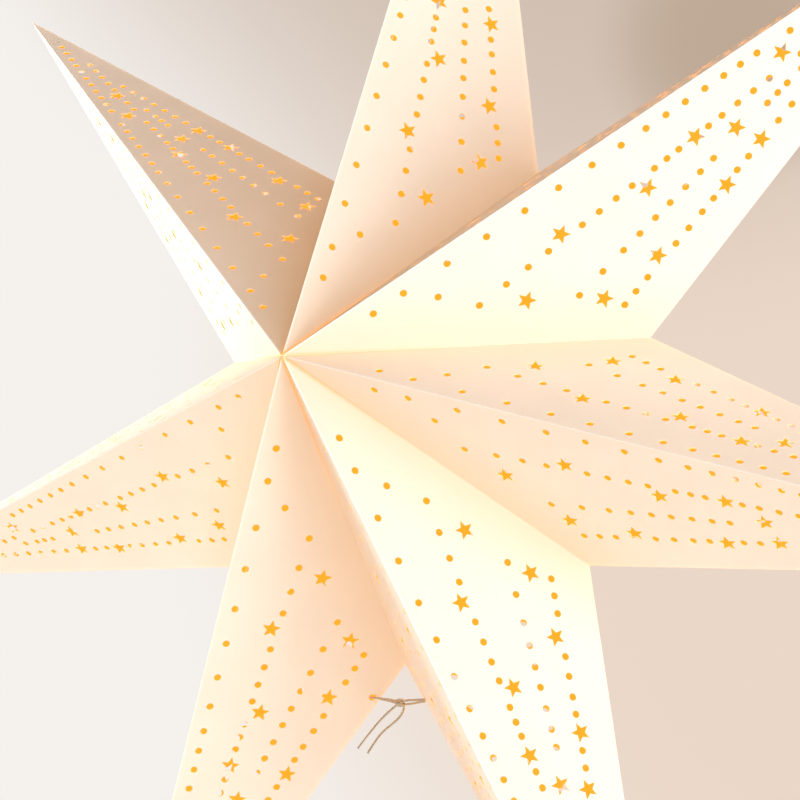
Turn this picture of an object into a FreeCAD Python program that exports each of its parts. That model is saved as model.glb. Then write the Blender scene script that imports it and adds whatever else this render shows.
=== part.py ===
import FreeCAD, Part
import math
import os
import Sketcher

# Seven-pointed folded paper star. Millimetres, +Z up, front towards -Y.
# The origin is the middle of the hub, halfway between the front apex and the back apex.
# Each point is one die-cut sheet folded into four facets, with a glue flap along each valley.
# Points are counted from the top one, clockwise as seen from the front.
# The star opens like a fan and closes at the lowest valley, where a string ties it.

os.makedirs("parts", exist_ok=True)
doc = FreeCAD.newDocument("PaperStar")
V3 = FreeCAD.Vector

SIZES = (
    ("points", 7),
    ("tip_radius", 300),
    ("notch_radius", 100),
    ("hub_half_depth", 93),
    ("paper", 0.35),
    ("flap_width", 9),
    ("star_reach", 3.9),
    ("star_waist", 1.7),
    ("dot_radius", 1.4),
    ("ridge_row_inset", 6.2),
    ("ridge_row_start", 35.5),
    ("ridge_row_gap", 80),
    ("valley_row_inset", 16),
    ("valley_row_start", 89.5),
    ("valley_row_gap", 29),
    ("rim_row_inset", 14),
    ("rim_row_start", 27),
    ("rim_row_gap", 45),
    ("middle_star_along", 142),
    ("middle_star_off", 25),
    ("tip_margin", 60),
    ("tie_hole_radius", 1.4),
    ("tie_hole_along_rim", 18),
    ("tie_hole_inset", 3),
    ("string_diameter", 1),
    ("knot_length", 4.4),
    ("knot_diameter", 3.6),
    ("knot_chamfer", 0.8),
)

sheet = doc.addObject("Spreadsheet::Sheet", "Sizes")
for row, (alias, value) in enumerate(SIZES, start=1):
    sheet.set(f"A{row}", alias)
    sheet.set(f"B{row}", str(value))
    sheet.setAlias(f"B{row}", alias)
doc.recompute()
size = {alias: float(sheet.get(alias)) for alias, value in SIZES}

POINTS = int(size["points"])
HALF_STEP = math.pi / POINTS
TIP = size["tip_radius"]
NOTCH = size["notch_radius"]
DEPTH = size["hub_half_depth"]
PAPER = size["paper"]

# Half width that a point's four faces would have at the hub if they ran on to it.
ROOT_HALF_WIDTH = NOTCH * math.sin(HALF_STEP) * TIP / (TIP - NOTCH * math.cos(HALF_STEP))

# Cutting tools run past what they cut by this share of its size.
OVERRUN = 1.1

# The sketch planes: one seen from the front, one seen from the side, both with +Z up.
FRONT_PLANE = FreeCAD.Rotation(V3(1, 0, 0), 90)
SIDE_PLANE = FreeCAD.Rotation(V3(0, 0, 1), 90).multiply(FRONT_PLANE)


def feature(name, shape):
    obj = doc.addObject("Part::Feature", name)
    obj.Shape = shape
    return obj


def closed_face(corners):
    return Part.Face(Part.makePolygon(corners + [corners[0]]))


def pyramid(name, inset):
    """The four faces of the top point run back to the hub, each moved inwards by inset."""
    steepness = math.sqrt(1 / TIP**2 + 1 / DEPTH**2 + 1 / ROOT_HALF_WIDTH**2)
    share = 1 - inset * steepness
    apex = V3(0, 0, TIP * share)
    right = V3(ROOT_HALF_WIDTH * share, 0, 0)
    back = V3(0, DEPTH * share, 0)
    base = [right, back, -right, -back]
    faces = [closed_face(base)]
    for corner, following in zip(base, base[1:] + base[:1]):
        faces.append(closed_face([corner, following, apex]))
    return feature(name, Part.Solid(Part.Shell(faces)))


def isosceles_sketch(name, plane, apex, base_end):
    """Triangle mirrored about the sketch's upright axis, its apex at height apex on that axis."""
    sketch = doc.addObject("Sketcher::SketchObject", name)
    sketch.Placement = FreeCAD.Placement(V3(0, 0, 0), plane)
    half_width, level = base_end
    corners = [V3(0, apex, 0), V3(half_width, level, 0), V3(-half_width, level, 0)]
    for start, end in zip(corners, corners[1:] + corners[:1]):
        sketch.addGeometry(Part.LineSegment(start, end), False)
    for edge in range(3):
        sketch.addConstraint(Sketcher.Constraint("Coincident", edge, 2, (edge + 1) % 3, 1))
    sketch.addConstraint(Sketcher.Constraint("Symmetric", 1, 1, 1, 2, -2))
    width = sketch.addConstraint(Sketcher.Constraint("DistanceX", 1, 2, 1, 1, 2 * half_width))
    sketch.renameConstraint(width, "width")
    return sketch


def prism(name, sketch, length):
    obj = doc.addObject("Part::Extrusion", name)
    obj.Base = sketch
    obj.DirMode = "Normal"
    obj.Solid = True
    obj.Symmetric = True
    obj.setExpression("LengthFwd", length)
    return obj


def boolean(kind, name, base, tool):
    obj = doc.addObject("Part::" + kind, name)
    obj.Base = base
    obj.Tool = tool
    return obj


def sector(name, inset, inset_value):
    """Prism between the two seam planes of the top point, each moved inwards by inset."""
    rise = f"{inset} / sin(180 deg / Sizes.points)"
    bottom = inset_value / math.sin(HALF_STEP)
    reach = TIP * OVERRUN
    half_width = (reach - bottom) * math.tan(HALF_STEP)
    sketch = isosceles_sketch(name + "_profile", FRONT_PLANE, bottom, (half_width, reach))
    sketch.addConstraint(Sketcher.Constraint("PointOnObject", 0, 1, -2))
    if inset_value == 0:
        sketch.addConstraint(Sketcher.Constraint("PointOnObject", 0, 1, -1))
    else:
        lift = sketch.addConstraint(Sketcher.Constraint("DistanceY", -1, 1, 0, 1, bottom))
        sketch.renameConstraint(lift, "lift")
        sketch.setExpression("Constraints.lift", rise)
    top = sketch.addConstraint(Sketcher.Constraint("DistanceY", -1, 1, 1, 1, reach))
    sketch.renameConstraint(top, "top")
    sketch.setExpression("Constraints.top", f"Sizes.tip_radius * {OVERRUN}")
    span = f"2 * (Sizes.tip_radius * {OVERRUN} - {rise}) * tan(180 deg / Sizes.points)"
    sketch.setExpression("Constraints.width", span)
    return prism(name, sketch, f"2 * Sizes.hub_half_depth * {OVERRUN}")


# The folded blank of the top point: a thin shell whose seam walls are cut back to glue flaps.
outer_sector = sector("outer_sector", "0", 0)
inner_sector = sector("inner_sector", "Sizes.paper", PAPER)
outline = boolean("Common", "point_outline", pyramid("outer_faces", 0), outer_sector)
hollow = boolean("Common", "point_hollow", pyramid("inner_faces", PAPER), inner_sector)
shell = boolean("Cut", "point_shell", outline, hollow)

# The window that leaves the flaps: the seam triangle drawn in from the valleys by the flap width.
FLAP_SHARE = (
    "(1 - Sizes.flap_width * sqrt(1 / Sizes.hub_half_depth ^ 2 + 1 / Sizes.notch_radius ^ 2))"
)
flap_share = 1 - size["flap_width"] * math.sqrt(1 / DEPTH**2 + 1 / NOTCH**2)
window_height = NOTCH * math.cos(HALF_STEP) * flap_share
window_base = (DEPTH * flap_share, 0)
window_profile = isosceles_sketch("flap_window_profile", SIDE_PLANE, window_height, window_base)
window_profile.addConstraint(Sketcher.Constraint("PointOnObject", 0, 1, -2))
window_profile.addConstraint(Sketcher.Constraint("PointOnObject", 1, 1, -1))
top = Sketcher.Constraint("DistanceY", -1, 1, 0, 1, window_height)
window_profile.renameConstraint(window_profile.addConstraint(top), "top")
height = f"Sizes.notch_radius * cos(180 deg / Sizes.points) * {FLAP_SHARE}"
window_profile.setExpression("Constraints.top", height)
window_profile.setExpression("Constraints.width", f"2 * Sizes.hub_half_depth * {FLAP_SHARE}")
window = prism("flap_window", window_profile, "Sizes.notch_radius")
blank = boolean("Cut", "folded_blank", shell, window)


# The flat facet: along runs from the hub apex down the ridge to the tip, off runs towards the notch.
RIDGE = math.hypot(TIP, DEPTH)
VALLEY = math.hypot(NOTCH, DEPTH)
RIM = math.hypot(TIP - NOTCH * math.cos(HALF_STEP), NOTCH * math.sin(HALF_STEP))
NOTCH_ALONG = (RIDGE**2 + VALLEY**2 - RIM**2) / (2 * RIDGE)
NOTCH_OFF = math.sqrt(VALLEY**2 - NOTCH_ALONG**2)
RIM_ANGLE = math.atan2(NOTCH_OFF, RIDGE - NOTCH_ALONG)
VALLEY_ANGLE = math.atan2(NOTCH_OFF, NOTCH_ALONG)
HUB_APEX = V3(0, -DEPTH, 0)
ALONG = (V3(0, 0, TIP) - HUB_APEX).normalize()
NOTCH_CORNER = V3(NOTCH * math.sin(HALF_STEP), 0, NOTCH * math.cos(HALF_STEP))
TO_NOTCH = NOTCH_CORNER - HUB_APEX
OFF = (TO_NOTCH - ALONG * TO_NOTCH.dot(ALONG)).normalize()
OUTWARD = ALONG.cross(OFF)
if OUTWARD.y > 0:
    OUTWARD = -OUTWARD


# How far a punch starts above the sheet and ends below it.
PUNCH_OVERRUN = 3 * PAPER
DOT_SIDES = 6
TIE_HOLE_SIDES = 10
STAR_ARMS = 5


def punch(along, off, reaches):
    """A hole punched square through the facet, its corners evenly turned at these reaches."""
    corners = []
    for corner, reach in enumerate(reaches):
        turn = 2 * math.pi * corner / len(reaches)
        flat = ALONG * (along + reach * math.cos(turn)) + OFF * (off + reach * math.sin(turn))
        corners.append(HUB_APEX + flat + OUTWARD * PUNCH_OVERRUN)
    return closed_face(corners).extrude(OUTWARD * -(PAPER + 2 * PUNCH_OVERRUN))


def dot(along, off):
    return punch(along, off, [size["dot_radius"]] * DOT_SIDES)


def five_pointed_star(along, off):
    """A star with one arm towards the hub."""
    return punch(along, off, [size["star_waist"], size["star_reach"]] * STAR_ARMS)


def beside_rim(along_rim, inset):
    """Facet place at a distance along the rim from the notch, and in from the rim by inset."""
    along = NOTCH_ALONG + along_rim * math.cos(RIM_ANGLE) - inset * math.sin(RIM_ANGLE)
    off = NOTCH_OFF - along_rim * math.sin(RIM_ANGLE) - inset * math.cos(RIM_ANGLE)
    return along, off


def beside_valley(along_valley, inset):
    """Facet place at a distance along the valley from the hub, and in from it by inset."""
    along = along_valley * math.cos(VALLEY_ANGLE) + inset * math.sin(VALLEY_ANGLE)
    off = along_valley * math.sin(VALLEY_ANGLE) - inset * math.cos(VALLEY_ANGLE)
    return along, off


def row_of(start, end, gap):
    """Places from start, gap apart, that stay short of end."""
    places = []
    place = start
    while place < end:
        places.append(place)
        place += gap
    return places


def perforations():
    """The marks of one facet: rows beside the ridge, the valley and the rim, and one between."""
    ridge_end = RIDGE - size["tip_margin"]
    rim_end = RIM - size["tip_margin"]
    punches = []
    for along in row_of(size["ridge_row_start"], ridge_end, size["ridge_row_gap"]):
        punches.append(dot(along, size["ridge_row_inset"]))
    for along_valley in row_of(size["valley_row_start"], VALLEY, size["valley_row_gap"]):
        punches.append(five_pointed_star(*beside_valley(along_valley, size["valley_row_inset"])))
    punches.append(five_pointed_star(size["middle_star_along"], size["middle_star_off"]))
    rim_places = row_of(size["rim_row_start"], rim_end, size["rim_row_gap"])
    rim_marks = [beside_rim(place, size["rim_row_inset"]) for place in rim_places]
    punches.append(five_pointed_star(*rim_marks[0]))
    punches += [dot(*mark) for mark in rim_marks[1:]]
    return Part.makeCompound(punches)


def mirrored(name, source, normal):
    obj = doc.addObject("Part::Mirroring", name)
    obj.Source = source
    obj.Normal = normal
    return obj


front_right = feature("punches_front_right", perforations())
front_left = mirrored("punches_front_left", front_right, V3(1, 0, 0))
back_right = mirrored("punches_back_right", front_right, V3(0, 1, 0))
back_left = mirrored("punches_back_left", front_left, V3(0, 1, 0))
punches = doc.addObject("Part::Compound", "punches")
punches.Links = [front_right, front_left, back_right, back_left]
folded_point = boolean("Cut", "folded_point", blank, punches)
doc.recompute()


# The two points beside the lowest valley are punched close to the rim, front and back, for the tie.
def tie_holes():
    """The tie's holes in the front facet and the back facet on one side of the top point."""
    along, off = beside_rim(size["tie_hole_along_rim"], size["tie_hole_inset"])
    front = punch(along, off, [size["tie_hole_radius"]] * TIE_HOLE_SIDES)
    return Part.makeCompound([front, front.mirror(V3(0, 0, 0), V3(0, 1, 0))])


tie_punch_right = feature("tie_punch_right", tie_holes())
tie_punch_left = mirrored("tie_punch_left", tie_punch_right, V3(1, 0, 0))
tied_right = boolean("Cut", "tied_point_right", folded_point, tie_punch_right)
tied_left = boolean("Cut", "tied_point_left", folded_point, tie_punch_left)

# The seven points, turned round the hub. The lowest valley lies between the two tied ones.
LOWER_RIGHT = (POINTS + 1) // 2
LOWER_LEFT = LOWER_RIGHT + 1
subparts = []


def turned(number):
    source = {LOWER_RIGHT: tied_right, LOWER_LEFT: tied_left}.get(number, folded_point)
    obj = doc.addObject("Part::Compound", f"point_{number}")
    obj.Links = [source]
    obj.Placement = FreeCAD.Placement(V3(0, 0, 0), FreeCAD.Rotation(V3(0, 1, 0), 1))
    obj.setExpression("Placement.Rotation.Angle", f"{number - 1} * 360 deg / Sizes.points")
    return obj


for number in range(1, POINTS + 1):
    subparts.append(turned(number))

# The tie string: up from one loose end, through both rims in a loop, and down to the other end.
TIE_ROUTE = (
    (-19.7, 1.2, -132.5),
    (-14.2, 0.8, -126.0),
    (-8.6, 0.0, -120.6),
    (-3.6, -1.0, -117.0),
    (0.4, -1.5, -114.5),
    (3.8, -1.9, -113.8),
    (8.2, -1.9, -113.6),
    (14.6, -2.9, -113.1),
    (16.4, 0.0, -113.0),
    (14.6, 2.9, -113.1),
    (8.2, 1.9, -113.7),
    (2.6, 1.6, -115.0),
    (-2.6, 1.6, -115.1),
    (-8.2, 1.9, -113.7),
    (-14.6, 2.9, -113.1),
    (-16.4, 0.0, -113.0),
    (-14.6, -2.9, -113.1),
    (-8.2, -1.9, -113.6),
    (-2.2, -0.6, -113.9),
    (1.3, 0.0, -115.7),
    (0.5, -0.1, -119.2),
    (-3.6, 0.6, -122.4),
    (-8.6, 1.2, -125.6),
    (-12.2, 1.3, -129.8),
    (-15.3, 1.7, -134.2),
)
# How much of the shorter run each bend may take on either side of its corner.
BEND_SHARE = 0.45


def rounded_path(points):
    """Straight runs joined by arcs that touch both runs."""
    corners = [V3(*point) for point in points]
    edges = []
    radii = []
    start = corners[0]
    for before, corner, after in zip(corners, corners[1:], corners[2:]):
        arriving = corner - before
        leaving = after - corner
        setback = BEND_SHARE * min(arriving.Length, leaving.Length)
        turn = arriving.getAngle(leaving)
        radius = setback / math.tan(turn / 2)
        arriving.normalize()
        leaving.normalize()
        arc_start = corner - arriving * setback
        arc_end = corner + leaving * setback
        inwards = (leaving - arriving).normalize()
        depth = radius / math.cos(turn / 2) - radius
        edges.append(Part.LineSegment(start, arc_start).toShape())
        edges.append(Part.Arc(arc_start, corner + inwards * depth, arc_end).toShape())
        radii.append(radius)
        start = arc_end
    edges.append(Part.LineSegment(start, corners[-1]).toShape())
    return Part.Wire(edges), radii


STRING_RADIUS = size["string_diameter"] / 2
STRING_SIDES = 8


def string_section(start, direction):
    """Many-sided section of the same area as the round string."""
    step = 2 * math.pi / STRING_SIDES
    reach = STRING_RADIUS * math.sqrt(step / math.sin(step))
    across = FreeCAD.Rotation(V3(0, 0, 1), direction)
    corners = []
    for corner in range(STRING_SIDES):
        flat = V3(reach * math.cos(corner * step), reach * math.sin(corner * step), 0)
        corners.append(start + across.multVec(flat))
    return closed_face(corners)


tie_path, tie_radii = rounded_path(TIE_ROUTE)
tie_start = V3(*TIE_ROUTE[0])
tie_section = string_section(tie_start, V3(*TIE_ROUTE[1]) - tie_start)
tie_string = feature("tie_string", tie_path.makePipe(tie_section))
expected = math.pi * STRING_RADIUS**2 * tie_path.Length
print("tie radii", [round(radius, 2) for radius in tie_radii])
print("tie length", round(tie_path.Length, 2))
print("tie volume", round(tie_string.Shape.Volume, 2), "expected", round(expected, 2))

# The knot that holds the loop shut, with the string passing through it.
KNOT_MIDDLE = V3(-0.1, -0.9, -114.8)
knot_barrel = doc.addObject("Part::Cylinder", "knot_barrel")
knot_barrel.setExpression("Radius", "Sizes.knot_diameter / 2")
knot_barrel.setExpression("Height", "Sizes.knot_length")
knot_end = KNOT_MIDDLE - V3(size["knot_length"] / 2, 0, 0)
knot_barrel.Placement = FreeCAD.Placement(knot_end, FreeCAD.Rotation(V3(0, 0, 1), V3(1, 0, 0)))
doc.recompute()
knot_lump = doc.addObject("Part::Chamfer", "knot_lump")
knot_lump.Base = knot_barrel
chamfer = size["knot_chamfer"]
rims = [i for i, edge in enumerate(knot_barrel.Shape.Edges, start=1) if edge.isClosed()]
knot_lump.Edges = [(i, chamfer, chamfer) for i in rims]
tie_knot = boolean("Cut", "tie_knot", knot_lump, tie_string)
subparts += [tie_string, tie_knot]

doc.recompute()
for obj in subparts:
    obj.Label = obj.Name


def failed(obj):
    return any(word in ("Invalid", "Error") for word in obj.State)


broken = [obj.Name for obj in doc.Objects if failed(obj)]
broken += [obj.Name for obj in subparts if obj.Shape.isNull() or not obj.Shape.isValid()]
if broken:
    raise RuntimeError("not built: " + ", ".join(broken))

for obj in subparts:
    obj.Shape.exportStep(f"parts/{obj.Label}.step")
    print(obj.Label, "volume", round(obj.Shape.Volume, 1), "solids", len(obj.Shape.Solids))
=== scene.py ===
import math

import bpy
from mathutils import Matrix, Vector
from mathutils.geometry import delaunay_2d_cdt


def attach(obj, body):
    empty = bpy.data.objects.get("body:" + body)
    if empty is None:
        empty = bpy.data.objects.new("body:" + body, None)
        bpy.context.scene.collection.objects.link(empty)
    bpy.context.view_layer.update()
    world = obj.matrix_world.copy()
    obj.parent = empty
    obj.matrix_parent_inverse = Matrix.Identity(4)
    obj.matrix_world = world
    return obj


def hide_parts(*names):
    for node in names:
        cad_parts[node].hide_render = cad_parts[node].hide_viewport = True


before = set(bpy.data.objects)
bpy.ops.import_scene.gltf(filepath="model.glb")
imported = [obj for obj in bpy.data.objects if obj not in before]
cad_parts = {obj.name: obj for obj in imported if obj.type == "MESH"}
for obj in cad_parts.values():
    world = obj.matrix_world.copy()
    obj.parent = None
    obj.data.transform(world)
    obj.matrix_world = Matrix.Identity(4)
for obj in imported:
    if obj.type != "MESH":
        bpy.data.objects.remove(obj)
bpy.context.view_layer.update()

scene = bpy.context.scene
scene.view_settings.view_transform = "Standard"
MM = 0.001

# Camera at the photograph's viewing angle: a little below the hub, to the right of the front.
RIGHT = Vector((0.82085, 0.56525, 0.08183))
UP = Vector((0.03892, -0.19831, 0.97937))
FORWARD = Vector((-0.56981, 0.80073, 0.18478))
CAMERA_AT = Vector((0.55353, -0.79580, -0.18051))
PHOTO_MIDDLE = 400
FOCAL_LENGTH_PIXELS = 2541.9
camera_data = bpy.data.cameras.new("camera")
camera_data.sensor_width = 36
camera_data.lens = 114.39
camera_data.clip_start = 0.01
camera = bpy.data.objects.new("camera", camera_data)
scene.collection.objects.link(camera)
axes = Matrix((RIGHT, UP, -FORWARD)).transposed()
camera.matrix_world = Matrix.Translation(CAMERA_AT) @ axes.to_4x4()
scene.camera = camera


def link(name, mesh):
    obj = bpy.data.objects.new(name, mesh)
    scene.collection.objects.link(obj)
    return obj


def mesh_object(name, points, faces, materials, face_materials=None, smooth=False):
    mesh = bpy.data.meshes.new(name)
    mesh.from_pydata(points, [], faces)
    for material in materials:
        mesh.materials.append(material)
    if face_materials:
        mesh.polygons.foreach_set("material_index", face_materials)
    mesh.polygons.foreach_set("use_smooth", [smooth] * len(mesh.polygons))
    mesh.update()
    return link(name, mesh)


def add_node(tree, kind, inputs=(), **settings):
    """A new node; an input is either a value or the socket that it is joined to."""
    node = tree.nodes.new(kind)
    for key, value in settings.items():
        setattr(node, key, value)
    for key, value in dict(inputs).items():
        if isinstance(value, bpy.types.NodeSocket):
            tree.links.new(value, node.inputs[key])
        else:
            node.inputs[key].default_value = value
    return node


class Nodes:
    """A material's node tree with short calls for making and joining nodes."""

    def __init__(self, name):
        self.material = bpy.data.materials.new(name)
        self.material.use_nodes = True
        self.tree = self.material.node_tree
        self.shader = self.tree.nodes["Principled BSDF"]

    def add(self, kind, inputs=(), **settings):
        return add_node(self.tree, kind, inputs, **settings)

    def join(self, source, target):
        self.tree.links.new(source, target)

    def math(self, operation, first, second):
        return self.add("ShaderNodeMath", {0: first, 1: second}, operation=operation).outputs[0]

    def step(self, value, low, high, start=0.0, end=1.0):
        """Smooth change from start to end as value goes from low to high."""
        inputs = {"Value": value, 1: low, 2: high, 3: start, 4: end}
        node = self.add("ShaderNodeMapRange", inputs, interpolation_type="SMOOTHSTEP")
        return node.outputs[0]

    def mix(self, factor, first, second):
        inputs = {0: factor, 6: first, 7: second}
        return self.add("ShaderNodeMix", inputs, data_type="RGBA").outputs[2]


# Sizes of the star in millimetres, as in its drawing.
POINTS = 7
HALF_STEP = math.pi / POINTS
TIP = 300.0
NOTCH = 100.0
DEPTH = 93.0
PAPER = 0.35
FLAP = 9.0
ROOT_HALF_WIDTH = NOTCH * math.sin(HALF_STEP) * TIP / (TIP - NOTCH * math.cos(HALF_STEP))
STEEPNESS = math.sqrt(1 / TIP**2 + 1 / DEPTH**2 + 1 / ROOT_HALF_WIDTH**2)

# The flat facet: along runs from the hub apex down the ridge to the tip, off towards the notch.
RIDGE = math.hypot(TIP, DEPTH)
VALLEY = math.hypot(NOTCH, DEPTH)
RIM = math.hypot(TIP - NOTCH * math.cos(HALF_STEP), NOTCH * math.sin(HALF_STEP))
NOTCH_ALONG = (RIDGE**2 + VALLEY**2 - RIM**2) / (2 * RIDGE)
NOTCH_OFF = math.sqrt(VALLEY**2 - NOTCH_ALONG**2)
RIM_ANGLE = math.atan2(NOTCH_OFF, RIDGE - NOTCH_ALONG)
VALLEY_ANGLE = math.atan2(NOTCH_OFF, NOTCH_ALONG)
HUB_APEX = Vector((0, -DEPTH, 0))
NOTCH_CORNER = Vector((NOTCH * math.sin(HALF_STEP), 0, NOTCH * math.cos(HALF_STEP)))
ALONG = (Vector((0, 0, TIP)) - HUB_APEX).normalized()
TO_NOTCH = NOTCH_CORNER - HUB_APEX
OFF = (TO_NOTCH - ALONG * TO_NOTCH.dot(ALONG)).normalized()
OUTWARD = OFF.cross(ALONG)
if OUTWARD.y > 0:
    OUTWARD = -OUTWARD

# The die-cut pattern of one facet, in millimetres. Little stars first, then rows of dots.
STAR_ARMS = 5
STAR_REACH = 3.9
STAR_WAIST = 1.7
DOT_RADIUS = 1.4
DOT_SIDES = 12
STARS = (
    (83.6, 35.6), (107.0, 21.3), (107.3, 52.2), (132.0, 49.7), (142.0, 25.1), (166.0, 18.9),
    (166.5, 41.5), (180.0, 24.8), (185.5, 34.0), (207.4, 10.4), (228.0, 12.3),
)
# Each row: where its line starts, its angle to the ridge, the dots on it, and its last dot.
# Past the dots named, the row goes on at ROW_PITCH.
ROW_PITCH = 7.0
ROWS = (
    ((35.5, 6.3), 0.35,
     (35.5, 48.6, 67.5, 84.5, 101.0, 115.5, 129.8, 142.2, 152.8, 161.3, 169.5, 177.8, 185.8), 287),
    ((68.5, 26.8), 4.7,
     (68.5, 80.8, 90.8, 100.0, 115.3, 123.0, 130.6, 137.8, 147.8, 153.4, 158.7, 172.0, 178.0), 262),
    ((100.5, 45.6), 13.2,
     (100.5, 112.3, 122.7, 130.9, 138.7, 146.0, 153.7, 161.0, 167.5, 194.0, 199.0, 203.6), 213),
    ((112.3, 58.9), 18.4,
     (112.3, 118.4, 124.7, 139.9, 146.8, 154.0, 160.0, 172.5, 178.5, 194.2), 248),
)
LEAD_IN = (58.0, 15.0)
TIE_HOLE_RADIUS = 1.4
TIE_HOLE_ALONG_RIM = 18.0
TIE_HOLE_INSET = 3.0
TIE_HOLE_SIDES = 16
# Least distances between the centres of two marks.
DOT_TO_STAR = 5.3
DOT_TO_DOT = 3.9
MARK_TO_TIE_HOLE = 4.5
# Corners closer than this count as one when the facet is cut into triangles.
SAME_CORNER = 1e-7


def dots():
    """Centres of all the dots: the rows, kept clear of the stars and of each other."""
    found = [LEAD_IN]
    for (start_along, start_off), angle, places, last in ROWS:
        places = list(places)
        while places[-1] + ROW_PITCH <= last:
            places.append(places[-1] + ROW_PITCH)
        for along in places:
            off = start_off - (along - start_along) * math.tan(math.radians(angle))
            dot = (along, off)
            far_from_stars = all(math.dist(dot, star) > DOT_TO_STAR for star in STARS)
            far_from_dots = all(math.dist(dot, other) > DOT_TO_DOT for other in found)
            if far_from_stars and far_from_dots:
                found.append(dot)
    return found


def outline_of(centre, reaches):
    """Corners of a mark round its centre, one for each reach, the first along the ridge."""
    corners = []
    for corner, reach in enumerate(reaches):
        turn = 2 * math.pi * corner / len(reaches)
        corners.append((centre[0] + reach * math.cos(turn), centre[1] + reach * math.sin(turn)))
    return corners


def within(point, outline):
    """True if the point lies inside the closed outline."""
    x, y = point
    hit = False
    for (x0, y0), (x1, y1) in zip(outline, outline[1:] + outline[:1]):
        if (y0 > y) != (y1 > y) and x < x0 + (y - y0) / (y1 - y0) * (x1 - x0):
            hit = not hit
    return hit


def punched_facet(tied):
    """Corners, triangles and hole outlines of the flat facet, its first corners hub, tip, notch."""
    marks = [(star, outline_of(star, (STAR_WAIST, STAR_REACH) * STAR_ARMS)) for star in STARS]
    marks += [(dot, outline_of(dot, (DOT_RADIUS,) * DOT_SIDES)) for dot in dots()]
    if tied:
        along = NOTCH_ALONG + TIE_HOLE_ALONG_RIM * math.cos(RIM_ANGLE)
        along -= TIE_HOLE_INSET * math.sin(RIM_ANGLE)
        off = NOTCH_OFF - TIE_HOLE_ALONG_RIM * math.sin(RIM_ANGLE)
        off -= TIE_HOLE_INSET * math.cos(RIM_ANGLE)
        hole = (along, off)
        marks = [mark for mark in marks if math.dist(mark[0], hole) > MARK_TO_TIE_HOLE]
        marks.append((hole, outline_of(hole, (TIE_HOLE_RADIUS,) * TIE_HOLE_SIDES)))
    corners = [(0.0, 0.0), (RIDGE, 0.0), (NOTCH_ALONG, NOTCH_OFF)]
    edges = [(0, 1), (1, 2), (2, 0)]
    loops = []
    for centre, outline in marks:
        first = len(corners)
        loop = list(range(first, first + len(outline)))
        corners += outline
        edges += list(zip(loop, loop[1:] + loop[:1]))
        loops.append(loop)
    flat = [Vector(corner) for corner in corners]
    cut = delaunay_2d_cdt(flat, edges, [], 0, SAME_CORNER)
    cut_corners, cut_faces, corner_origins = cut[0], cut[2], cut[3]
    if len(cut_corners) != len(flat):
        raise RuntimeError("the die-cut pattern has marks that cross")
    triangles = []
    for face in cut_faces:
        face = [corner_origins[corner][0] for corner in face]
        middle = (sum(corners[c][0] for c in face) / 3, sum(corners[c][1] for c in face) / 3)
        holed = any(
            math.dist(middle, centre) < STAR_REACH and within(middle, outline)
            for centre, outline in marks
        )
        if not holed:
            triangles.append(face)
    return corners, triangles, loops


def inner_corners():
    """Hub, tip and notch corners of the facet's inner side."""
    share = 1 - PAPER * STEEPNESS
    rise = PAPER / math.sin(HALF_STEP)
    hub = Vector((0, -DEPTH * share * (1 - rise / (TIP * share)), rise))
    tip = Vector((0, 0, TIP * share))
    slope = math.tan(HALF_STEP)
    width = ROOT_HALF_WIDTH * share
    level = (1 + rise * slope / width) / (slope / width + 1 / (TIP * share))
    return [hub, tip, Vector(((level - rise) * slope, 0, level))]


def on_facet(along, off, below):
    """Place in the star of a point of the flat facet, some way below its outer side."""
    return HUB_APEX + ALONG * along + OFF * off - OUTWARD * below


FACETS = {tied: punched_facet(tied) for tied in (False, True)}
INNER = inner_corners()
OUTER_SIDE, INNER_SIDE, CUT_EDGE = 0, 1, 2


def add_facet(points, faces, kinds, places, tied, side, front):
    """One facet with its thickness. side is 1 for the right one, -1 for the left one.

    Corners, faces and the faces' materials are added to the lists, and so is each corner's
    place on the flat facet.
    """
    corners, triangles, loops = FACETS[tied]
    first = len(points)
    count = len(corners)
    mirror = Vector((side, 1 if front else -1, 1))
    for layer in (0, 1):
        for index, (along, off) in enumerate(corners):
            at = on_facet(along, off, layer * PAPER)
            if layer and index < len(INNER):
                at = INNER[index]
            points.append(Vector(a * b for a, b in zip(at, mirror)))
            places.append((along, off))
    flip = side * mirror.y < 0

    def add(face, kind):
        faces.append(face[::-1] if flip else face)
        kinds.append(kind)

    for a, b, c in triangles:
        add([first + a, first + c, first + b], OUTER_SIDE)
        add([first + count + a, first + count + b, first + count + c], INNER_SIDE)
    for loop in loops:
        for a, b in zip(loop, loop[1:] + loop[:1]):
            add([first + a, first + count + a, first + count + b, first + b], CUT_EDGE)


def add_flap(points, faces, kinds, places, side, front):
    """The glue flap along one valley, folded inwards on the seam plane."""
    share = 1 - FLAP * math.sqrt(1 / DEPTH**2 + 1 / NOTCH**2)
    sway = -1 if front else 1
    first = len(points)
    across = Vector((math.cos(HALF_STEP), 0, -math.sin(HALF_STEP))) * PAPER
    for layer in (0, 1):
        for reach, depth in ((NOTCH, 0), (0, DEPTH), (0, DEPTH * share), (NOTCH * share, 0)):
            least = PAPER / math.sin(HALF_STEP) / math.cos(HALF_STEP) if layer else 0
            reach = max(reach, least)
            at = Vector((reach * math.sin(HALF_STEP), sway * depth, reach * math.cos(HALF_STEP)))
            at -= across * layer
            points.append(Vector((at.x * side, at.y, at.z)))
            places.append((NOTCH_ALONG, NOTCH_OFF))
    a, b, c, d = range(first, first + 4)
    e, f, g, h = range(first + 4, first + 8)
    for face in ([a, b, c, d], [h, g, f, e], [c, g, h, d], [b, f, g, c]):
        faces.append(face if side * sway < 0 else face[::-1])
        kinds.append(INNER_SIDE)


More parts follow.
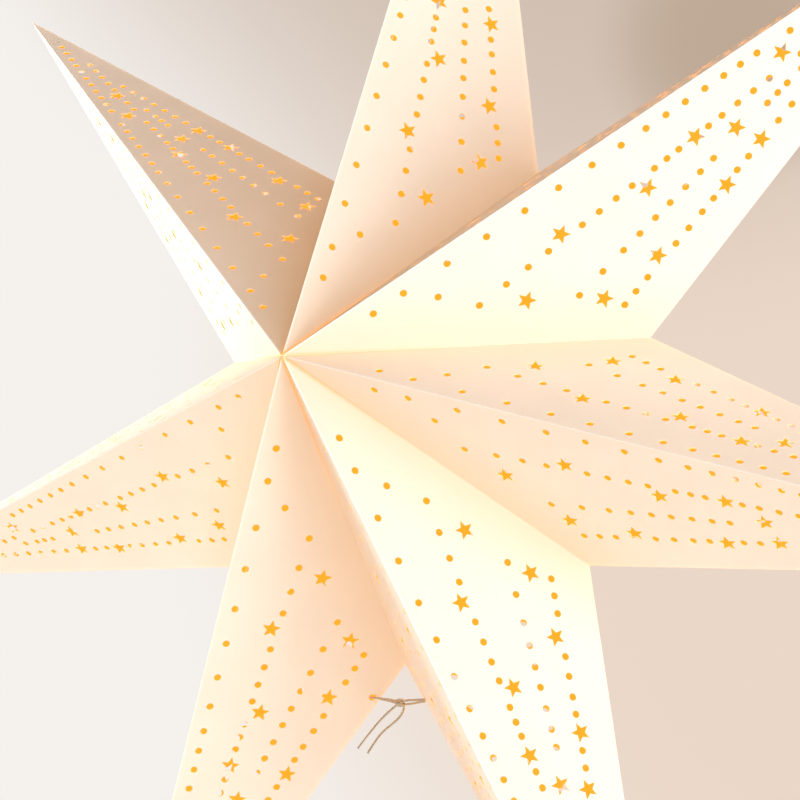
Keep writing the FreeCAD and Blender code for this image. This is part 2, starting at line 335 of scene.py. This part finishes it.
# Widths, in metres, of the painted shade at the valley, the painted highlight at the ridge and the
# painted lamp glow at the rim.
VALLEY_SHADE_WIDTH = 0.030
RIDGE_HIGHLIGHT_FROM, RIDGE_HIGHLIGHT_TO = 0.0003, 0.0009
RIM_GLOW_FROM, RIM_GLOW_TO = 0.0004, 0.0024
RIM_GLOW_SHARE = 0.4


def paper_material(name, inner):
    """Card as seen from outside, or the orange inner side, both with painted lamp light: no lamp is
    modelled inside.
    """
    nodes = Nodes(name)
    shader = nodes.shader
    uv = nodes.add("ShaderNodeUVMap", uv_map="facet")
    split = nodes.add("ShaderNodeSeparateXYZ", {0: uv.outputs[0]})
    along, off = split.outputs[0], split.outputs[1]
    place = nodes.add("ShaderNodeTexCoord").outputs["Object"]
    mottle = nodes.add("ShaderNodeTexNoise", {"Vector": place, "Scale": 45.0, "Detail": 4.0})
    fibre = nodes.add("ShaderNodeTexNoise", {"Vector": place, "Scale": 1400.0, "Detail": 3.0})
    shader.inputs["Roughness"].default_value = 0.82
    shader.inputs["Specular IOR Level"].default_value = 0.25
    bump = nodes.add(
        "ShaderNodeBump",
        {"Height": fibre.outputs[0], "Strength": 0.12, "Distance": 0.0004},
    )
    nodes.join(bump.outputs[0], shader.inputs["Normal"])
    if inner:
        # Painted lamp light: the inner side's orange colour and glow stand in for the light of a
        # lamp inside, which is not modelled.
        colour = nodes.mix(mottle.outputs[0], (0.62, 0.30, 0.07, 1), (0.70, 0.35, 0.09, 1))
        nodes.join(colour, shader.inputs["Base Color"])
        painted_lamp_glow = nodes.mix(mottle.outputs[0], (1.0, 0.33, 0.02, 1), (1.0, 0.37, 0.03, 1))
        nodes.join(painted_lamp_glow, shader.inputs["Emission Color"])
        shader.inputs["Emission Strength"].default_value = 0.85
        return nodes.material
    # How far a place is from the valley and from the rim, in metres.
    to_valley = nodes.math(
        "SUBTRACT",
        nodes.math("MULTIPLY", along, math.sin(VALLEY_ANGLE)),
        nodes.math("MULTIPLY", off, math.cos(VALLEY_ANGLE)),
    )
    to_tip = nodes.math("SUBTRACT", RIDGE * MM, along)
    to_rim = nodes.math(
        "SUBTRACT",
        nodes.math("MULTIPLY", to_tip, math.sin(RIM_ANGLE)),
        nodes.math("MULTIPLY", off, math.cos(RIM_ANGLE)),
    )
    speck = nodes.step(mottle.outputs[0], 0.3, 0.7)
    card = nodes.mix(speck, (0.920, 0.875, 0.785, 1), (0.940, 0.890, 0.810, 1))
    # Painted shade: the card turns darker and browner over the last 30 mm towards the valley.
    painted_valley_shade = nodes.step(to_valley, 0.0, VALLEY_SHADE_WIDTH, 1.0, 0.0)
    card = nodes.mix(painted_valley_shade, card, (0.90, 0.80, 0.68, 1))
    # Painted highlight: a lighter line along the ridge fold.
    ridge_highlight = nodes.step(off, RIDGE_HIGHLIGHT_FROM, RIDGE_HIGHLIGHT_TO, 1.0, 0.0)
    card = nodes.mix(ridge_highlight, card, (0.97, 0.96, 0.92, 1))
    nodes.join(card, shader.inputs["Base Color"])
    # Painted lamp light: a faint orange glow of the lamp inside shining through the card, brighter
    # near the rim.
    painted_lamp_glow = nodes.mix(speck, (0.200, 0.072, 0.001, 1), (0.220, 0.082, 0.002, 1))
    edge = nodes.step(to_rim, RIM_GLOW_FROM, RIM_GLOW_TO, RIM_GLOW_SHARE, 0.0)
    painted_lamp_glow = nodes.mix(edge, painted_lamp_glow, (0.45, 0.17, 0.02, 1))
    nodes.join(painted_lamp_glow, shader.inputs["Emission Color"])
    shader.inputs["Emission Strength"].default_value = 1.0
    return nodes.material


def edge_material():
    nodes = Nodes("paper_cut_edge")
    shader = nodes.shader
    place = nodes.add("ShaderNodeTexCoord").outputs["Object"]
    grain = nodes.add("ShaderNodeTexNoise", {"Vector": place, "Scale": 900.0, "Detail": 2.0})
    colour = nodes.mix(grain.outputs[0], (0.82, 0.66, 0.42, 1), (0.90, 0.76, 0.54, 1))
    nodes.join(colour, shader.inputs["Base Color"])
    # Painted lamp light: the cut edges glow orange as if lit by a lamp inside.
    painted_lamp_glow = nodes.mix(grain.outputs[0], (0.80, 0.34, 0.05, 1), (0.90, 0.40, 0.07, 1))
    nodes.join(painted_lamp_glow, shader.inputs["Emission Color"])
    shader.inputs["Emission Strength"].default_value = 0.8
    shader.inputs["Roughness"].default_value = 0.9
    return nodes.material


PAPER_MATERIALS = [
    paper_material("paper_outer", False),
    paper_material("paper_inner", True),
    edge_material(),
]
# The two points that the string ties together.
LOWER_RIGHT, LOWER_LEFT = 4, 5


def paper_point(number):
    """One point of the star: four facets and their glue flaps, turned to its place."""
    points, faces, kinds, places = [], [], [], []
    for side in (1, -1):
        tied = (number, side) in ((LOWER_RIGHT, 1), (LOWER_LEFT, -1))
        for front in (True, False):
            add_facet(points, faces, kinds, places, tied, side, front)
            add_flap(points, faces, kinds, places, side, front)
    turn = Matrix.Rotation(2 * math.pi * (number - 1) / POINTS, 3, "Y")
    points = [turn @ point * MM for point in points]
    obj = mesh_object(f"paper_point_{number}", points, faces, PAPER_MATERIALS, kinds)
    layer = obj.data.uv_layers.new(name="facet")
    for loop in obj.data.loops:
        along, off = places[loop.vertex_index]
        layer.data[loop.index].uv = (along * MM, off * MM)
    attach(obj, "root")
    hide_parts(f"point_{number}")


for number in range(1, POINTS + 1):
    paper_point(number)

# The tie string: the same route as in the drawing, in metres.
TIE_ROUTE = (
    (-0.0197, 0.0012, -0.1325),
    (-0.0142, 0.0008, -0.1260),
    (-0.0086, 0.0000, -0.1206),
    (-0.0036, -0.0010, -0.1170),
    (0.0004, -0.0015, -0.1145),
    (0.0038, -0.0019, -0.1138),
    (0.0082, -0.0019, -0.1136),
    (0.0146, -0.0029, -0.1131),
    (0.0164, 0.0000, -0.1130),
    (0.0146, 0.0029, -0.1131),
    (0.0082, 0.0019, -0.1137),
    (0.0026, 0.0016, -0.1150),
    (-0.0026, 0.0016, -0.1151),
    (-0.0082, 0.0019, -0.1137),
    (-0.0146, 0.0029, -0.1131),
    (-0.0164, 0.0000, -0.1130),
    (-0.0146, -0.0029, -0.1131),
    (-0.0082, -0.0019, -0.1136),
    (-0.0022, -0.0006, -0.1139),
    (0.0013, 0.0000, -0.1157),
    (0.0005, -0.0001, -0.1192),
    (-0.0036, 0.0006, -0.1224),
    (-0.0086, 0.0012, -0.1256),
    (-0.0122, 0.0013, -0.1298),
    (-0.0153, 0.0017, -0.1342),
)
STRING_DIAMETER = 0.0010
STRING_PLIES = 3
STRING_PITCH = 0.0042
PLY_SIDES = 8
FUZZ = 0.05
FUZZ_RADIANS_PER_METRE = 9000
KNOT_MIDDLE = Vector((-0.0001, -0.0009, -0.1148))
KNOT_WRAPS = 3.0
KNOT_STEPS = 84
KNOT_RADIUS = 0.00125
KNOT_TAPER = 0.15
KNOT_WIDTH = 0.0028


def spline_points(route):
    """Points along the smooth line of a route."""
    curve = bpy.data.curves.new("route", "CURVE")
    curve.dimensions = "3D"
    spline = curve.splines.new("NURBS")
    spline.points.add(len(route) - 1)
    for point, at in zip(spline.points, route):
        point.co = (*at, 1)
    spline.order_u = 3
    spline.use_endpoint_u = True
    spline.resolution_u = 12
    obj = link("route", curve)
    mesh = bpy.data.meshes.new_from_object(obj)
    points = [vertex.co.copy() for vertex in mesh.vertices]
    bpy.data.objects.remove(obj)
    bpy.data.curves.remove(curve)
    bpy.data.meshes.remove(mesh)
    return points


def twisted(points):
    """Points and faces of the string, its plies twisted round each other along a line."""
    plies, sides = STRING_PLIES, PLY_SIDES
    offset = STRING_DIAMETER / 2 / (1 + math.sin(math.pi / plies))
    radius = STRING_DIAMETER / 2 - offset
    tangents = []
    for index in range(len(points)):
        before = points[max(index - 1, 0)]
        after = points[min(index + 1, len(points) - 1)]
        tangents.append((after - before).normalized())
    across = tangents[0].orthogonal().normalized()
    travelled = 0.0
    frames = []
    for index, tangent in enumerate(tangents):
        across = (across - tangent * across.dot(tangent)).normalized()
        if index:
            travelled += (points[index] - points[index - 1]).length
        frames.append((points[index], across.copy(), tangent.cross(across), travelled))
    made, faces = [], []
    for ply in range(plies):
        first = len(made)
        for at, one, two, distance in frames:
            phase = 2 * math.pi * (distance / STRING_PITCH + ply / plies)
            outward = one * math.cos(phase) + two * math.sin(phase)
            beside = one * -math.sin(phase) + two * math.cos(phase)
            for side in range(sides):
                angle = 2 * math.pi * side / sides
                wave = distance * FUZZ_RADIANS_PER_METRE + ply * 2 + side
                swell = 1 + FUZZ * math.sin(wave)
                made.append(
                    at + outward * (offset + radius * swell * math.cos(angle))
                    + beside * radius * swell * math.sin(angle)
                )
        for ring in range(len(frames) - 1):
            for side in range(sides):
                a = first + ring * sides + side
                b = first + ring * sides + (side + 1) % sides
                faces.append([a, b, b + sides, a + sides])
        last = first + (len(frames) - 1) * sides
        faces.append([first + side for side in reversed(range(sides))])
        faces.append([last + side for side in range(sides)])
    return made, faces


def string_material():
    nodes = Nodes("cotton_string")
    shader = nodes.shader
    place = nodes.add("ShaderNodeTexCoord").outputs["Object"]
    fibre = nodes.add(
        "ShaderNodeTexNoise",
        {"Vector": place, "Scale": 2600.0, "Detail": 3.0, "Distortion": 0.6},
    )
    tone = nodes.step(fibre.outputs[0], 0.3, 0.7)
    colour = nodes.mix(tone, (0.74, 0.56, 0.37, 1), (0.88, 0.72, 0.52, 1))
    nodes.join(colour, shader.inputs["Base Color"])
    bump = nodes.add(
        "ShaderNodeBump",
        {"Height": fibre.outputs[0], "Strength": 0.6, "Distance": 0.0002},
    )
    nodes.join(bump.outputs[0], shader.inputs["Normal"])
    shader.inputs["Roughness"].default_value = 0.95
    shader.inputs["Sheen Weight"].default_value = 0.3
    return nodes.material


COTTON = string_material()
line = spline_points(TIE_ROUTE)
made, faces = twisted(line)
tie_string = mesh_object("tie_cord", made, faces, [COTTON], smooth=True)


def knot_line():
    """Wraps of the knot, round the strings that meet in it."""
    points = []
    for step in range(KNOT_STEPS + 1):
        share = step / KNOT_STEPS
        turn = 2 * math.pi * KNOT_WRAPS * share
        reach = KNOT_RADIUS * (1 - KNOT_TAPER * abs(2 * share - 1))
        drift = (share - 0.5) * KNOT_WIDTH
        at = Vector((drift, reach * math.cos(turn), reach * math.sin(turn)))
        points.append(KNOT_MIDDLE + at)
    return points


made, faces = twisted(knot_line())
knot = mesh_object("tie_wraps", made, faces, [COTTON], smooth=True)
for piece, node in ((tie_string, "tie_string"), (knot, "tie_knot")):
    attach(piece, "root")
    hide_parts(node)

# Floor below the hung star, and the room's pale wall as the world's colour.
FLOOR_LEVEL = -0.46
FLOOR_REACH = 3.0
floor_nodes = Nodes("floor")
place = floor_nodes.add("ShaderNodeTexCoord").outputs["Object"]
grain = floor_nodes.add("ShaderNodeTexNoise", {"Vector": place, "Scale": 6.0, "Detail": 3.0})
pale = floor_nodes.mix(grain.outputs[0], (0.80, 0.775, 0.74, 1), (0.82, 0.795, 0.765, 1))
floor_nodes.join(pale, floor_nodes.shader.inputs["Base Color"])
floor_nodes.shader.inputs["Roughness"].default_value = 0.9
floor_signs = ((-1, -1), (1, -1), (1, 1), (-1, 1))
floor_points = [(x * FLOOR_REACH, y * FLOOR_REACH, FLOOR_LEVEL) for x, y in floor_signs]
floor = mesh_object("floor", floor_points, [(0, 1, 2, 3)], [floor_nodes.material])

world = bpy.data.worlds.new("room")
scene.world = world
world.use_nodes = True
world.node_tree.nodes.clear()


def world_node(kind, inputs=(), **settings):
    return add_node(world.node_tree, kind, inputs, **settings)


def world_math(operation, first, second):
    node = world_node("ShaderNodeMath", {0: first, 1: second}, operation=operation)
    return node.outputs[0]


def facing(direction):
    """Cosine between the looked-at direction and a fixed one in the room."""
    look = world_node("ShaderNodeTexCoord").outputs["Generated"]
    node = world_node("ShaderNodeVectorMath", {0: look, 1: direction}, operation="DOT_PRODUCT")
    return node.outputs["Value"]


def world_step(value, low, high):
    """Smooth change from 0 to 1 as value goes from low to high."""
    inputs = {"Value": value, 1: low, 2: high, 3: 0.0, 4: 1.0}
    node = world_node("ShaderNodeMapRange", inputs, interpolation_type="SMOOTHSTEP")
    return node.outputs[0]


def world_mix(factor, first, second):
    inputs = {0: factor, 6: first, 7: second}
    return world_node("ShaderNodeMix", inputs, data_type="RGBA").outputs[2]


def toward(x, y):
    """Direction in the room behind a place in the photograph, in its pixels."""
    ray = RIGHT * (x - PHOTO_MIDDLE) - UP * (y - PHOTO_MIDDLE) + FORWARD * FOCAL_LENGTH_PIXELS
    return tuple(ray.normalized())


# The wall as seen: pale at the left, a warmer grey to the right, and darkest high on the right,
# where the star's shadow is painted on it.
# Each tone starts and ends at an angle, in radians, from the direction that it surrounds.
sideways = world_step(facing(toward(1100, 400)), math.cos(0.375), math.cos(0.195))
wall = world_mix(sideways, (0.913, 0.880, 0.847, 1), (0.823, 0.680, 0.571, 1))
# Painted shadow of the star on the wall, high on the right.
painted_wall_shadow = world_step(facing(toward(620, -420)), math.cos(0.30), math.cos(0.14))
wall = world_mix(painted_wall_shadow, wall, (0.640, 0.530, 0.450, 1))
# The darkest core of that painted shadow.
corner = world_step(facing(toward(740, 40)), math.cos(0.060), 1.0)
wall = world_mix(corner, wall, (0.520, 0.400, 0.305, 1))
seen = world_node("ShaderNodeBackground", {"Color": wall, "Strength": 1.0})


# The light of the room comes from both sides, most of it from the right.
FROM_RIGHT, RIGHT_STRENGTH = (0.85, -0.10, -0.50), 3.4
FROM_LEFT, LEFT_STRENGTH = (-0.85, -0.10, -0.50), 0.6
EVEN_STRENGTH = 0.09
LOBE_EDGE = 0.2


def lobe(direction, strength):
    """Wide light of the room, strongest from one direction, nothing past the lobe's edge."""
    inputs = {"Value": facing(direction), 1: LOBE_EDGE, 2: 1.0, 3: 0.0, 4: strength}
    return world_node("ShaderNodeMapRange", inputs).outputs[0]


room_light = world_math("ADD", lobe(FROM_RIGHT, RIGHT_STRENGTH), lobe(FROM_LEFT, LEFT_STRENGTH))
room_light = world_math("ADD", room_light, EVEN_STRENGTH)
ambient = world_node(
    "ShaderNodeBackground",
    {"Color": (1.0, 1.0, 1.0, 1), "Strength": room_light},
)

# The wall is what the camera, reflections and clear materials show; the rest gets the light.
rays = world_node("ShaderNodeLightPath").outputs
shown = world_math("MAXIMUM", rays["Is Camera Ray"], rays["Is Transmission Ray"])
shown = world_math("MAXIMUM", shown, rays["Is Glossy Ray"])
both = world_node(
    "ShaderNodeMixShader",
    {0: shown, 1: ambient.outputs[0], 2: seen.outputs[0]},
)
world_node("ShaderNodeOutputWorld", {"Surface": both.outputs[0]})


SOFT_BOX_SIZE = 0.40


def soft_box(name, at, watts):
    """Round studio light at a place, turned to the star."""
    data = bpy.data.lights.new(name, "AREA")
    data.energy = watts
    data.shape = "DISK"
    data.size = SOFT_BOX_SIZE
    obj = bpy.data.objects.new(name, data)
    obj.location = at
    obj.rotation_mode = "QUATERNION"
    obj.rotation_quaternion = Vector(at).to_track_quat("Z", "Y")
    scene.collection.objects.link(obj)


def sun(name, direction, strength, softness):
    """Soft light that comes from that direction; softness is its width in degrees."""
    data = bpy.data.lights.new(name, "SUN")
    data.energy = strength
    data.angle = math.radians(softness)
    obj = bpy.data.objects.new(name, data)
    obj.rotation_mode = "QUATERNION"
    obj.rotation_quaternion = Vector(direction).to_track_quat("Z", "Y")
    scene.collection.objects.link(obj)


soft_box("right_side", (0.75, -0.12, -0.10), 1.65)
soft_box("left_side", (-0.75, -0.12, 0.05), 5.4)
sun("top_back", (0.0, 0.85, 0.53), 2.4, 25)
